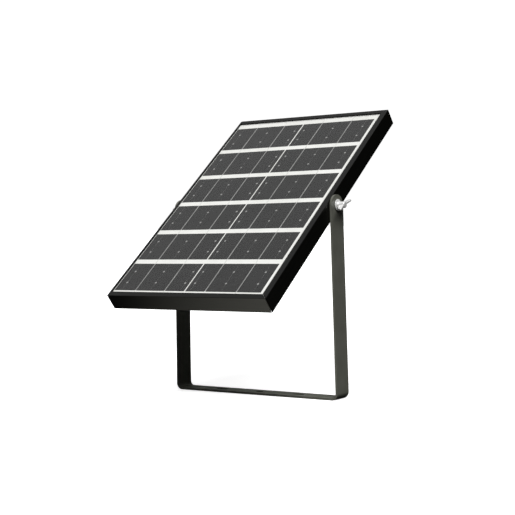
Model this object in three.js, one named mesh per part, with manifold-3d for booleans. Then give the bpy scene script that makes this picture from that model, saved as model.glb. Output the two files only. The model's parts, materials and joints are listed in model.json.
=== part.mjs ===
// A framed solar panel on a U-shaped tilt bracket.
//
// Millimetres, +Z up. X runs along the hinge. The sunlit face leans towards -Y.
// The origin is the centre of the bracket's foot, on the surface that it stands on.
// The panel is drawn in a frame of its own, with the hinge axis at its origin:
// x across the panel, y up its slope and z out of its sunlit face.

import * as THREE from "three";
import { mergeVertices } from "three/addons/utils/BufferGeometryUtils.js";
import Module from "manifold-3d";

// Driving dimensions: the panel
const PANEL_WIDTH = 200;
const PANEL_LENGTH = 314;
const FRAME_DEPTH = 18.3;
const HINGE_BELOW_FACE = 10.8;
const TILT_DEG = 38.2;

// Driving dimensions: the rails
const WALL = 1.3;
const LIP_WIDTH = 6.6;
const TOP_LIP_WIDTH = 6.2;
const LEFT_LIP_WIDTH = 2.5;
const LIP_THICKNESS = 0.6;
const BOX_WIDTH = 7;
const BACK_FLANGE_WIDTH = 12;
const RAIL_WEB = 1;
const KEY_LEG = 22;

// Driving dimensions: the laminate, from the glass down
const GLASS_THICKNESS = 1.6;
const RIBBON_THICKNESS = 0.12;
const CELL_THICKNESS = 0.25;
const SHEET_THICKNESS = 0.35;
const GASKET_THICKNESS = 0.5;
const CELL_WIDTH = 92.2;
const CELL_HEIGHT = 42.4;
const CELL_COLUMNS = 2;
const CELL_ROWS = 6;
const COLUMN_GAP = 1.4;
const ROW_PITCH = 49.3;
const ARRAY_OFFSET_X = -4.4;
const ARRAY_OFFSET_Y = -2.3;
const RIBBON_WIDTH = 1.2;
const RIBBON_OFFSETS = [25.7, 64.2];
const BUS_WIDTH = 2;
const BUS_FROM_EDGE = 3.3;

// Driving dimensions: the bracket
const HINGE_HEIGHT = 201;
const BAR_WIDTH = 23;
const BAR_THICKNESS = 2.3;
const BEND_OUTER_RADIUS = 7;
const ARM_TO_RAIL = 0.4;
const ARM_SPLAY = 2.5;
const ARM_TOP_ABOVE_HINGE = 10.8;
const CENTRE_HOLE_RADIUS = 4.25;
const SLOT_LENGTH = 15;
const SLOT_WIDTH = 7;
const SLOT_CORNER_RADIUS = 3.4;
const SLOT_OFFSET = 50;

// Driving dimensions: the M5 wing screws and their washers
const SHANK_RADIUS = 2.45;
const CLEARANCE_RADIUS = 2.8;
const NUT_BORE_RADIUS = 2.75;
const NUT_LENGTH = 14;
const WASHER_RADIUS = 6;
const WASHER_THICKNESS = 1;
const WASHER_STAND_OFF = 0.4;
const SHANK_TIP_INSET = 0.5;
const SHANK_TIP_LENGTH = 0.6;
const HUB_FLANGE_RADIUS = 4;
const HUB_FLANGE_LENGTH = 0.8;
const HUB_RADIUS = 3.5;
const HUB_LENGTH = 8.2;
const HUB_ROUNDING = 0.6;
const WING_START = 2.4;
const WING_REACH = 7.2;
const WING_SPAN = 24;
const WING_THICKNESS = 2;
const RIGHT_WING_TURN_DEG = -13;
const LEFT_WING_TURN_DEG = 0;

// Driving dimensions: the junction box on the panel's back
const BOX_SIZE_X = 62;
const BOX_SIZE_Y = 48;
const BOX_CENTRE_Y = 95;
const BOX_WALL = 1.8;
const BOX_CORNER_RADIUS = 4;
const BOX_DEPTH = 10.5;
const LID_THICKNESS = 1.6;
const SEAL_THICKNESS = 0.6;
const PAD_THICKNESS = 0.8;
const PAD_INSET = 3;
const SCREW_INSET = 5;
const SCREW_HEAD_RADIUS = 2.6;
const SCREW_HEAD_HEIGHT = 1.2;
const DRIVE_SLOT_WIDTH = 0.6;
const DRIVE_SLOT_DEPTH = 0.5;
const POST_RADIUS = 3.4;
const PILOT_RADIUS = 1.35;

// Driving dimensions: the solder tabs and the diode inside the junction box
const TERMINAL_OFFSET = 14;
const TERMINAL_THICKNESS = 0.6;
const TERMINAL_WIDTH = 6;
const TERMINAL_LENGTH = 10;
const FLAG_HEIGHT = 4.5;
const WIRE_HOLE_RADIUS = 0.9;
const WIRE_HOLE_DEPTH = 3;
const DIODE_RADIUS = 1.4;
const DIODE_LENGTH = 5.2;
const LEAD_RADIUS = 0.4;
const LEAD_LENGTH = 8.4;
const DIODE_Y = 4.2;
const DIODE_BELOW_FLOOR = 3;

// Driving dimensions: the cable gland, with distances from the tray's wall outwards
const CABLE_RADIUS = 2.2;
const THREAD_RADIUS = 3.4;
const THREAD_INSIDE = 2;
const HEX_RADIUS = 5.2;
const HEX_END = 3;
const NECK_END = 8;
const NUT_RADIUS = 5;
const NUT_MOUTH_RADIUS = 3.4;
const NUT_SHOULDER = 8.6;
const NUT_END = 11.4;
const NUT_LIP = 1.2;
const GLAND_SEAL_RADIUS = 3.2;
const GLAND_SEAL_LENGTH = 0.9;
const GLAND_SEAL_TAPER = 0.6;

// Clearances
const GAP = 0.3;
const LAYER_GAP = 0.1;
const MITRE_GAP = 0.2;
const CUT_MARGIN = 5;

// Facets round a full turn, and steps along an outline's curves
const FINE_ROUND = 48;
const ROUND = 32;
const SMALL_ROUND = 20;
const TINY_ROUND = 12;
const CURVE_STEPS = 6;
const ARM_END_STEPS = 24;
const BEND_STEPS = 10;

// Worked-out levels in the panel's frame
const FACE_Z = HINGE_BELOW_FACE;
const BACK_Z = FACE_Z - FRAME_DEPTH;
const LAMINATE_EDGE = WALL + LAYER_GAP + GASKET_THICKNESS + LAYER_GAP;
const GLASS_TOP = FACE_Z - LIP_THICKNESS - LAYER_GAP;
const RIBBON_TOP = GLASS_TOP - GLASS_THICKNESS - LAYER_GAP;
const CELL_TOP = RIBBON_TOP - RIBBON_THICKNESS - LAYER_GAP;
const ENCAPSULANT_TOP = CELL_TOP - CELL_THICKNESS - LAYER_GAP;
const BACKSHEET_TOP = ENCAPSULANT_TOP - SHEET_THICKNESS - LAYER_GAP;
const SHELF_TOP = BACKSHEET_TOP - SHEET_THICKNESS - LAYER_GAP;

const wasm = await Module();
wasm.setup();

const materials = {
  bracketPaint: { color: 0x34352f, roughness: 0.45, metalness: 0.2 },
  framePaint: { color: 0x2a2b27, roughness: 0.42, metalness: 0.3 },
  glass: { color: 0xdfe8ea, roughness: 0.08, metalness: 0 },
  silicon: { color: 0x3c3d40, roughness: 0.35, metalness: 0.1 },
  tinned: { color: 0xc9c9c6, roughness: 0.3, metalness: 0.9 },
  whiteSheet: { color: 0xf2f2ee, roughness: 0.6, metalness: 0 },
  steel: { color: 0xc4c6c8, roughness: 0.25, metalness: 1 },
  rawAluminium: { color: 0xb4b6b8, roughness: 0.4, metalness: 1 },
  blackPlastic: { color: 0x1b1b1c, roughness: 0.55, metalness: 0 },
  blackRubber: { color: 0x161616, roughness: 0.8, metalness: 0 },
  brass: { color: 0xb08d4a, roughness: 0.35, metalness: 1 },
};

function addPart(group, name, geometry, material) {
  const mesh = new THREE.Mesh(geometry, new THREE.MeshStandardMaterial(material));
  mesh.name = name;
  group.add(mesh);
  return mesh;
}

// Booleans

function toSolid(geometry) {
  const bare = geometry.clone();
  bare.deleteAttribute("normal");
  bare.deleteAttribute("uv");
  const merged = mergeVertices(bare, 1e-4);
  const mesh = new wasm.Mesh({
    numProp: 3,
    vertProperties: new Float32Array(merged.attributes.position.array),
    triVerts: new Uint32Array(merged.index.array),
  });
  return new wasm.Manifold(mesh);
}

function toGeometry(solid) {
  const mesh = solid.getMesh();
  const geometry = new THREE.BufferGeometry();
  geometry.setAttribute("position", new THREE.BufferAttribute(mesh.vertProperties, 3));
  geometry.setIndex(new THREE.BufferAttribute(mesh.triVerts, 1));
  geometry.computeVertexNormals();
  return geometry;
}

function cut(geometry, cutters) {
  return toGeometry(cutters.reduce((solid, cutter) => solid.subtract(toSolid(cutter)), toSolid(geometry)));
}

function join(geometries) {
  return toGeometry(geometries.map(toSolid).reduce((all, solid) => all.add(solid)));
}

// Basic shapes

// A block from low x, y, z to high x, y, z.
function block(low, high) {
  const size = high.map((value, axis) => value - low[axis]);
  const middle = high.map((value, axis) => (value + low[axis]) / 2);
  return new THREE.BoxGeometry(...size).translate(...middle);
}

// An outline in x and y, from low z to high z.
function plate(outline, lowZ, highZ) {
  const options = { depth: highZ - lowZ, bevelEnabled: false, curveSegments: CURVE_STEPS };
  return new THREE.ExtrudeGeometry(outline, options).translate(0, 0, lowZ);
}

function rodAlongZ(radius, lowZ, highZ, sides = ROUND) {
  const rod = new THREE.CylinderGeometry(radius, radius, highZ - lowZ, sides);
  return rod.rotateX(Math.PI / 2).translate(0, 0, (lowZ + highZ) / 2);
}

function rodAlongY(radius, lowY, highY, sides = ROUND) {
  const rod = new THREE.CylinderGeometry(radius, radius, highY - lowY, sides);
  return rod.translate(0, (lowY + highY) / 2, 0);
}

function rodAlongX(radius, lowX, highX, sides = ROUND) {
  return rodAlongY(radius, lowX, highX, sides).rotateZ(-Math.PI / 2);
}

// A closed profile of [radius, distance] points, turned about the X axis.
function turnedAboutX(profile, sides = ROUND) {
  const points = profile.map(([radius, distance]) => new THREE.Vector2(radius, distance));
  return new THREE.LatheGeometry(points, sides).rotateZ(-Math.PI / 2);
}

function polygon(points) {
  return new THREE.Shape(points.map(([x, y]) => new THREE.Vector2(x, y)));
}

function roundedRectangle(sizeX, sizeY, radius) {
  const x = sizeX / 2 - radius;
  const y = sizeY / 2 - radius;
  const shape = new THREE.Shape();
  shape.absarc(x, y, radius, 0, Math.PI / 2);
  shape.absarc(-x, y, radius, Math.PI / 2, Math.PI);
  shape.absarc(-x, -y, radius, Math.PI, Math.PI * 1.5);
  shape.absarc(x, -y, radius, Math.PI * 1.5, Math.PI * 2);
  return shape;
}

// The bracket: a bent bar cut to round arm ends, with the hinge holes and the foot's holes

const armLean = Math.atan(ARM_SPLAY / HINGE_HEIGHT);
const armInnerX = PANEL_WIDTH / 2 + ARM_TO_RAIL;
const armOuterX = armInnerX + BAR_THICKNESS / Math.cos(armLean);

// One face of the bar's right half, as [x, z] points round the bend and up past the arm's end.
// The inner face has an offset of 0, and the outer face one of BAR_THICKNESS. The inner face's
// distance from the origin is measured square to the leaning arm.
function halfBarFace(offset) {
  const innerDistance = armInnerX * Math.cos(armLean) + HINGE_HEIGHT * Math.sin(armLean);
  const bendX =
    (innerDistance + BAR_THICKNESS - BEND_OUTER_RADIUS * (1 + Math.sin(armLean))) / Math.cos(armLean);
  const radius = BEND_OUTER_RADIUS - BAR_THICKNESS + offset;
  const points = [];
  for (let step = 0; step <= BEND_STEPS; step++) {
    const angle = -Math.PI / 2 + (step / BEND_STEPS) * (armLean + Math.PI / 2);
    points.push([bendX + radius * Math.cos(angle), BEND_OUTER_RADIUS + radius * Math.sin(angle)]);
  }
  const topZ = HINGE_HEIGHT + ARM_TOP_ABOVE_HINGE + CUT_MARGIN;
  const topX = (innerDistance + offset - topZ * Math.sin(armLean)) / Math.cos(armLean);
  points.push([topX, topZ]);
  return points;
}

// The bent bar, as long in y as the bar is wide, with square arm ends.
function makeBentBar() {
  const outer = halfBarFace(BAR_THICKNESS);
  const inner = halfBarFace(0);
  const mirrored = (points) => points.map(([x, z]) => [-x, z]);
  const outline = polygon([
    ...outer,
    ...inner.slice().reverse(),
    ...mirrored(inner),
    ...mirrored(outer).reverse(),
  ]);
  return plate(outline, -BAR_WIDTH / 2, BAR_WIDTH / 2).rotateX(Math.PI / 2);
}

// What the bracket fills when it is seen along x: a straight bar with a round end.
function makeSideView(reach) {
  const endRadius = BAR_WIDTH / 2;
  const side = new THREE.Shape();
  side.moveTo(-endRadius, -CUT_MARGIN);
  side.lineTo(endRadius, -CUT_MARGIN);
  side.absarc(0, HINGE_HEIGHT + ARM_TOP_ABOVE_HINGE - endRadius, endRadius, 0, Math.PI);
  const options = { depth: 2 * reach, bevelEnabled: false, curveSegments: ARM_END_STEPS };
  const solid = new THREE.ExtrudeGeometry(side, options).translate(0, 0, -reach);
  return solid.rotateX(Math.PI / 2).rotateZ(Math.PI / 2);
}

function makeBracket() {
  const reach = PANEL_WIDTH;
  const slot = plate(
    roundedRectangle(SLOT_LENGTH, SLOT_WIDTH, SLOT_CORNER_RADIUS),
    -CUT_MARGIN,
    CUT_MARGIN,
  );
  const holes = [
    rodAlongX(CLEARANCE_RADIUS, -reach, reach).translate(0, 0, HINGE_HEIGHT),
    rodAlongZ(CENTRE_HOLE_RADIUS, -CUT_MARGIN, CUT_MARGIN),
    slot.clone().translate(SLOT_OFFSET, 0, 0),
    slot.clone().translate(-SLOT_OFFSET, 0, 0),
  ];
  const bar = toSolid(makeBentBar()).intersect(toSolid(makeSideView(reach)));
  return cut(toGeometry(bar), holes);
}

// The frame. Each rail lies along x in its own frame, with y inwards from its outer face and
// z up from its back, and its ends are mitred.

const hingeUpRail = -BACK_Z;
const shelfHeight = SHELF_TOP - BACK_Z;
const chamberInner = BOX_WIDTH - RAIL_WEB;
const chamberTop = shelfHeight - RAIL_WEB;

// The rail without its lip, with its ends mitred at 45 degrees.
function makeRailBody(length) {
  const section = polygon([
    [0, 0],
    [BACK_FLANGE_WIDTH, 0],
    [BACK_FLANGE_WIDTH, RAIL_WEB],
    [BOX_WIDTH, RAIL_WEB],
    [BOX_WIDTH, shelfHeight],
    [WALL, shelfHeight],
    [WALL, FRAME_DEPTH],
    [0, FRAME_DEPTH],
  ]);
  const chamber = polygon([
    [WALL, RAIL_WEB],
    [chamberInner, RAIL_WEB],
    [chamberInner, chamberTop],
    [WALL, chamberTop],
  ]);
  section.holes.push(chamber);
  const body = new THREE.ExtrudeGeometry(section, { depth: 1, bevelEnabled: false });
  const positions = body.attributes.position;
  for (let i = 0; i < positions.count; i++) {
    const inwards = positions.getX(i);
    const up = positions.getY(i);
    const end = positions.getZ(i) > 0 ? 1 : -1;
    positions.setXYZ(i, end * (length / 2 - inwards - MITRE_GAP), inwards, up);
  }
  return body;
}

// The lip over the glass, which reaches into the rail's wall. Its mitres run to the corners of
// the opening, where it meets the lips of the rails before and after it.
function makeLip(length, width, widthBefore, widthAfter) {
  const half = length / 2 - MITRE_GAP;
  const root = WALL / 2;
  const outline = polygon([
    [root - half, root],
    [half - root, root],
    [half - WALL, WALL],
    [half - widthAfter, width],
    [widthBefore - half, width],
    [WALL - half, WALL],
  ]);
  return plate(outline, FRAME_DEPTH - LIP_THICKNESS, FRAME_DEPTH);
}

function makeRail(length, lip, hasHingeHole) {
  const rail = join([makeRailBody(length), lip]);
  if (!hasHingeHole) {
    return rail;
  }
  const middle = (WALL + chamberInner) / 2;
  return cut(rail, [rodAlongY(CLEARANCE_RADIUS, -CUT_MARGIN, middle).translate(0, 0, hingeUpRail)]);
}

function makeCornerKey() {
  const near = WALL + GAP;
  const far = chamberInner - GAP;
  const outline = polygon([
    [near, near],
    [KEY_LEG, near],
    [KEY_LEG, far],
    [far, far],
    [far, KEY_LEG],
    [near, KEY_LEG],
  ]);
  return plate(outline, RAIL_WEB + GAP, chamberTop - GAP);
}

// A block in a side rail's chamber that takes the wing screw. It is drawn as a rail is.
function makeHingeNut() {
  const near = WALL + GAP;
  const far = chamberInner - GAP;
  const low = [-NUT_LENGTH / 2, near, RAIL_WEB + GAP];
  const high = [NUT_LENGTH / 2, far, chamberTop - GAP];
  const bore = rodAlongY(NUT_BORE_RADIUS, 0, BOX_WIDTH).translate(0, 0, hingeUpRail);
  return cut(block(low, high), [bore]);
}

function addFrame(panel) {
  const sides = [
    { name: "bottom_rail", length: PANEL_WIDTH, lip: LIP_WIDTH, x: 0, y: -PANEL_LENGTH / 2 },
    { name: "right_rail", length: PANEL_LENGTH, lip: LIP_WIDTH, x: PANEL_WIDTH / 2, y: 0 },
    { name: "top_rail", length: PANEL_WIDTH, lip: TOP_LIP_WIDTH, x: 0, y: PANEL_LENGTH / 2 },
    { name: "left_rail", length: PANEL_LENGTH, lip: LEFT_LIP_WIDTH, x: -PANEL_WIDTH / 2, y: 0 },
  ];
  sides.forEach((side, index) => {
    const onHinge = side.y === 0;
    const before = sides[(index + sides.length - 1) % sides.length];
    const after = sides[(index + 1) % sides.length];
    const lip = makeLip(side.length, side.lip, before.lip, after.lip);
    const rail = addPart(panel, side.name, makeRail(side.length, lip, onHinge), materials.framePaint);
    rail.position.set(side.x, side.y, BACK_Z);
    rail.rotation.z = (index * Math.PI) / 2;
    if (onHinge) {
      const nutName = side.name.replace("rail", "hinge_nut");
      const nut = addPart(panel, nutName, makeHingeNut(), materials.steel);
      nut.position.copy(rail.position);
      nut.rotation.copy(rail.rotation);
    }
  });
  const corners = [
    { name: "bottom_left", turn: 0, x: -1, y: -1 },
    { name: "bottom_right", turn: 1, x: 1, y: -1 },
    { name: "top_right", turn: 2, x: 1, y: 1 },
    { name: "top_left", turn: 3, x: -1, y: 1 },
  ];
  for (const corner of corners) {
    const key = addPart(panel, `corner_key_${corner.name}`, makeCornerKey(), materials.rawAluminium);
    key.position.set((corner.x * PANEL_WIDTH) / 2, (corner.y * PANEL_LENGTH) / 2, BACK_Z);
    key.rotation.z = (corner.turn * Math.PI) / 2;
  }
}

// The laminate: glass, ribbons, cells, encapsulant and backsheet, with a gasket round its rim

function laminateSheet(topZ, thickness) {
  const halfX = PANEL_WIDTH / 2 - LAMINATE_EDGE;
  const halfY = PANEL_LENGTH / 2 - LAMINATE_EDGE;
  return block([-halfX, -halfY, topZ - thickness], [halfX, halfY, topZ]);
}

function makeEdgeGasket() {
  const outer = WALL + LAYER_GAP;
  const inner = outer + GASKET_THICKNESS;
  const ring = (inset) => [PANEL_WIDTH / 2 - inset, PANEL_LENGTH / 2 - inset];
  const [outerX, outerY] = ring(outer);
  const [innerX, innerY] = ring(inner);
  const low = SHELF_TOP + LAYER_GAP;
  const high = GLASS_TOP;
  return cut(block([-outerX, -outerY, low], [outerX, outerY, high]), [
    block([-innerX, -innerY, low - CUT_MARGIN], [innerX, innerY, high + CUT_MARGIN]),
  ]);
}

function addCells(panel) {
  const halfX = CELL_WIDTH / 2;
  const halfY = CELL_HEIGHT / 2;
  for (let row = 0; row < CELL_ROWS; row++) {
    for (let column = 0; column < CELL_COLUMNS; column++) {
      const name = `solar_cell_row${row + 1}_${column === 0 ? "left" : "right"}`;
      const cell = block([-halfX, -halfY, CELL_TOP - CELL_THICKNESS], [halfX, halfY, CELL_TOP]);
      const side = column === 0 ? -1 : 1;
      addPart(panel, name, cell, materials.silicon).position.set(
        ARRAY_OFFSET_X + (side * (CELL_WIDTH + COLUMN_GAP)) / 2,
        ARRAY_OFFSET_Y + ((CELL_ROWS - 1) / 2 - row) * ROW_PITCH,
        0,
      );
    }
  }
}

function addRibbons(panel) {
  const busY = PANEL_LENGTH / 2 - BUS_FROM_EDGE;
  const ribbonEnd = busY - BUS_WIDTH / 2 - GAP;
  const lowZ = RIBBON_TOP - RIBBON_THICKNESS;
  const sides = [
    { name: "left", sign: -1 },
    { name: "right", sign: 1 },
  ];
  for (const { name, sign } of sides) {
    RIBBON_OFFSETS.forEach((offset, index) => {
      const x = ARRAY_OFFSET_X + sign * offset;
      const ribbon = block(
        [x - RIBBON_WIDTH / 2, -ribbonEnd, lowZ],
        [x + RIBBON_WIDTH / 2, ribbonEnd, RIBBON_TOP],
      );
      addPart(panel, `tabbing_ribbon_${name}_${index === 0 ? "inner" : "outer"}`, ribbon, materials.tinned);
    });
    const nearX = ARRAY_OFFSET_X + sign * (COLUMN_GAP / 2 + GAP);
    const farX = ARRAY_OFFSET_X + sign * (RIBBON_OFFSETS[1] + BUS_WIDTH);
    const bus = block(
      [Math.min(nearX, farX), busY - BUS_WIDTH / 2, lowZ],
      [Math.max(nearX, farX), busY + BUS_WIDTH / 2, RIBBON_TOP],
    );
    addPart(panel, `bus_ribbon_top_${name}`, bus, materials.tinned);
  }
  const reach = RIBBON_OFFSETS[1] + BUS_WIDTH;
  const link = block(
    [ARRAY_OFFSET_X - reach, -busY - BUS_WIDTH / 2, lowZ],
    [ARRAY_OFFSET_X + reach, -busY + BUS_WIDTH / 2, RIBBON_TOP],
  );
  addPart(panel, "bus_ribbon_bottom", link, materials.tinned);
}

function addLaminate(panel) {
  addPart(panel, "front_glass", laminateSheet(GLASS_TOP, GLASS_THICKNESS), materials.glass);
  addCells(panel);
  addRibbons(panel);
  const encapsulant = laminateSheet(ENCAPSULANT_TOP, SHEET_THICKNESS);
  addPart(panel, "rear_encapsulant", encapsulant, materials.whiteSheet);
  addPart(panel, "backsheet", laminateSheet(BACKSHEET_TOP, SHEET_THICKNESS), materials.whiteSheet);
  addPart(panel, "edge_gasket", makeEdgeGasket(), materials.blackRubber);
}

// The junction box hangs from the backsheet, so its parts are stacked downwards in z. Its
// parts are drawn round its own middle and then moved up the slope together.

const padTop = BACKSHEET_TOP - SHEET_THICKNESS - LAYER_GAP;
const trayTop = padTop - PAD_THICKNESS - LAYER_GAP;
const trayFloor = trayTop - BOX_WALL;
const trayRim = trayTop - BOX_DEPTH;
const sealTop = trayRim - LAYER_GAP;
const lidTop = sealTop - SEAL_THICKNESS - LAYER_GAP;
const lidBottom = lidTop - LID_THICKNESS;
const glandZ = (trayFloor + trayRim) / 2;
const boxFrontY = -BOX_SIZE_Y / 2;

// The outline of the box, drawn smaller by inset on every side.
function boxOutline(inset) {
  const radius = Math.max(BOX_CORNER_RADIUS - inset, 1);
  return roundedRectangle(BOX_SIZE_X - 2 * inset, BOX_SIZE_Y - 2 * inset, radius);
}

function atScrews(makeOne) {
  const x = BOX_SIZE_X / 2 - SCREW_INSET;
  const y = BOX_SIZE_Y / 2 - SCREW_INSET;
  const signs = [
    [1, 1],
    [-1, 1],
    [-1, -1],
    [1, -1],
  ];
  return signs.map(([signX, signY]) => makeOne().translate(signX * x, signY * y, 0));
}

function makeTray() {
  const outside = plate(boxOutline(0), trayRim, trayTop);
  const hollow = plate(boxOutline(BOX_WALL), trayRim - CUT_MARGIN, trayFloor);
  const posts = atScrews(() => rodAlongZ(POST_RADIUS, trayRim, trayTop - BOX_WALL / 2, SMALL_ROUND));
  const pilots = atScrews(() => rodAlongZ(PILOT_RADIUS, trayRim - CUT_MARGIN, trayFloor, TINY_ROUND));
  const cableHole = rodAlongY(THREAD_RADIUS + GAP, boxFrontY - CUT_MARGIN, boxFrontY + CUT_MARGIN);
  return cut(join([cut(outside, [hollow]), ...posts]), [...pilots, cableHole.translate(0, 0, glandZ)]);
}

function makeBoxSeal() {
  const ring = plate(boxOutline(GAP), sealTop - SEAL_THICKNESS, sealTop);
  return cut(ring, [plate(boxOutline(BOX_WALL - GAP), lidTop - CUT_MARGIN, sealTop + CUT_MARGIN)]);
}

function makeLid() {
  const lid = plate(boxOutline(0), lidBottom, lidTop);
  const makeHole = () =>
    rodAlongZ(PILOT_RADIUS + GAP, lidTop - CUT_MARGIN, lidTop + CUT_MARGIN, TINY_ROUND);
  return cut(lid, atScrews(makeHole));
}

// A pan-head screw that stands on the lid and reaches into a post.
function makeLidScrew() {
  const headTop = lidBottom - GAP;
  const headBottom = headTop - SCREW_HEAD_HEIGHT;
  const head = rodAlongZ(SCREW_HEAD_RADIUS, headBottom, headTop, SMALL_ROUND);
  const shankStart = (headTop + headBottom) / 2;
  const shank = rodAlongZ(PILOT_RADIUS - GAP, shankStart, trayFloor - GAP, TINY_ROUND);
  const halfSlot = DRIVE_SLOT_WIDTH / 2;
  const slot = block(
    [-CUT_MARGIN, -halfSlot, headBottom - CUT_MARGIN],
    [CUT_MARGIN, halfSlot, headBottom + DRIVE_SLOT_DEPTH],
  );
  return cut(join([head, shank]), [slot]);
}

// A solder tab standing on the tray's floor, bent like an L, with a wire hole in its flag.
function makeTerminal() {
  const halfWidth = TERMINAL_WIDTH / 2;
  const halfLength = TERMINAL_LENGTH / 2;
  const top = trayFloor - GAP;
  const foot = block(
    [-halfWidth, -halfLength, top - TERMINAL_THICKNESS],
    [halfWidth, halfLength, top],
  );
  const flag = block(
    [-halfWidth, halfLength - TERMINAL_THICKNESS, top - FLAG_HEIGHT],
    [halfWidth, halfLength, top],
  );
  const hole = rodAlongY(WIRE_HOLE_RADIUS, 0, TERMINAL_LENGTH, TINY_ROUND);
  return cut(join([foot, flag]), [hole.translate(0, 0, top - WIRE_HOLE_DEPTH)]);
}

function makeDiode() {
  const body = rodAlongX(DIODE_RADIUS, -DIODE_LENGTH / 2, DIODE_LENGTH / 2, SMALL_ROUND);
  const leads = rodAlongX(LEAD_RADIUS, -LEAD_LENGTH / 2, LEAD_LENGTH / 2, TINY_ROUND);
  return join([body, leads]).translate(0, DIODE_Y, trayFloor - DIODE_BELOW_FLOOR);
}

// The cable gland sticks out of the tray's lower wall. Its parts are turned about the X axis
// and then swung round to point down the slope.
const placeGland = (geometry) => geometry.rotateZ(-Math.PI / 2).translate(0, boxFrontY, glandZ);
const nutStart = HEX_END + GAP;
const glandSealStart = NECK_END + GAP;

function makeGlandBody() {
  const hexSides = 6;
  const hex = rodAlongX(HEX_RADIUS, GAP, HEX_END, hexSides).rotateX(Math.PI / hexSides);
  const thread = rodAlongX(THREAD_RADIUS, -BOX_WALL - THREAD_INSIDE, NECK_END);
  const bore = rodAlongX(CABLE_RADIUS, -BOX_SIZE_Y / 2, BOX_SIZE_Y / 2, SMALL_ROUND);
  return placeGland(cut(join([hex, thread]), [bore]));
}

function makeGlandNut() {
  const bore = THREAD_RADIUS + GAP;
  const mouth = CABLE_RADIUS + GAP;
  const coneStart = glandSealStart + GLAND_SEAL_LENGTH + GAP;
  const profile = [
    [bore, nutStart],
    [NUT_RADIUS, nutStart],
    [NUT_RADIUS, NUT_SHOULDER],
    [NUT_MOUTH_RADIUS, NUT_END],
    [mouth, NUT_END],
    [mouth, NUT_END - NUT_LIP],
    [bore, coneStart],
    [bore, nutStart],
  ];
  return placeGland(turnedAboutX(profile));
}

function makeGlandSeal() {
  const end = glandSealStart + GLAND_SEAL_LENGTH;
  const profile = [
    [CABLE_RADIUS, glandSealStart],
    [GLAND_SEAL_RADIUS, glandSealStart],
    [GLAND_SEAL_RADIUS, end],
    [CABLE_RADIUS, end + GLAND_SEAL_TAPER],
    [CABLE_RADIUS, glandSealStart],
  ];
  return placeGland(turnedAboutX(profile));
}

function addJunctionBox(parent) {
  const box = new THREE.Group();
  box.position.y = BOX_CENTRE_Y;
  parent.add(box);
  const pad = plate(boxOutline(PAD_INSET), padTop - PAD_THICKNESS, padTop);
  addPart(box, "junction_box_pad", pad, materials.blackRubber);
  addPart(box, "junction_box_tray", makeTray(), materials.blackPlastic);
  addPart(box, "junction_box_seal", makeBoxSeal(), materials.blackRubber);
  addPart(box, "junction_box_lid", makeLid(), materials.blackPlastic);
  const screwNames = ["top_right", "top_left", "bottom_left", "bottom_right"];
  atScrews(makeLidScrew).forEach((screw, index) => {
    addPart(box, `lid_screw_${screwNames[index]}`, screw, materials.steel);
  });
  addPart(box, "terminal_positive", makeTerminal(), materials.brass).position.x = TERMINAL_OFFSET;
  addPart(box, "terminal_negative", makeTerminal(), materials.brass).position.x = -TERMINAL_OFFSET;
  addPart(box, "blocking_diode", makeDiode(), materials.blackPlastic);
  addPart(box, "gland_body", makeGlandBody(), materials.blackPlastic);
  addPart(box, "gland_seal", makeGlandSeal(), materials.blackRubber);
  addPart(box, "gland_nut", makeGlandNut(), materials.blackPlastic);
}

// The hinge hardware. A washer and a wing screw are drawn along +X, measured outwards from
// the arm's outer face. The left pair is the right pair turned half a turn about z.

const washerInner = WASHER_STAND_OFF;
const washerOuter = washerInner + WASHER_THICKNESS;
const hubInner = washerOuter + GAP;
const shankEnd = -(armOuterX - PANEL_WIDTH / 2 + chamberInner - GAP);

function makeWasher() {
  const profile = [
    [CLEARANCE_RADIUS, washerInner],
    [WASHER_RADIUS, washerInner],
    [WASHER_RADIUS, washerOuter],
    [CLEARANCE_RADIUS, washerOuter],
    [CLEARANCE_RADIUS, washerInner],
  ];
  return turnedAboutX(profile, FINE_ROUND);
}

// One wing, in x outwards along the screw and y away from its axis.
function wingOutline() {
  const tip = WING_SPAN / 2;
  const along = (share) => hubInner + WING_START + share * WING_REACH;
  const shape = new THREE.Shape();
  shape.moveTo(along(0), 0);
  shape.lineTo(along(0), HUB_RADIUS);
  shape.quadraticCurveTo(along(0.06), 0.6 * tip, along(0.3), 0.85 * tip);
  shape.quadraticCurveTo(along(0.5), tip, along(0.75), tip);
  shape.quadraticCurveTo(along(1), 0.98 * tip, along(0.94), 0.8 * tip);
  shape.quadraticCurveTo(along(0.8), 0.45 * tip, along(0.67), 0.9 * HUB_RADIUS);
  shape.lineTo(along(0.67), 0);
  return shape;
}

function makeWingScrew(turnDeg) {
  const flangeEnd = hubInner + HUB_FLANGE_LENGTH;
  const hubEnd = hubInner + HUB_LENGTH;
  const profile = [
    [0, shankEnd],
    [SHANK_RADIUS - SHANK_TIP_INSET, shankEnd],
    [SHANK_RADIUS, shankEnd + SHANK_TIP_LENGTH],
    [SHANK_RADIUS, hubInner],
    [HUB_FLANGE_RADIUS, hubInner],
    [HUB_FLANGE_RADIUS, flangeEnd],
    [HUB_RADIUS, flangeEnd + HUB_ROUNDING],
    [HUB_RADIUS, hubEnd - HUB_ROUNDING],
    [HUB_RADIUS - HUB_ROUNDING, hubEnd],
    [0, hubEnd],
  ];
  const wing = plate(wingOutline(), -WING_THICKNESS / 2, WING_THICKNESS / 2);
  const otherWing = wing.clone().rotateX(Math.PI);
  return join([turnedAboutX(profile), wing, otherWing]).rotateX(THREE.MathUtils.degToRad(turnDeg));
}

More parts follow.
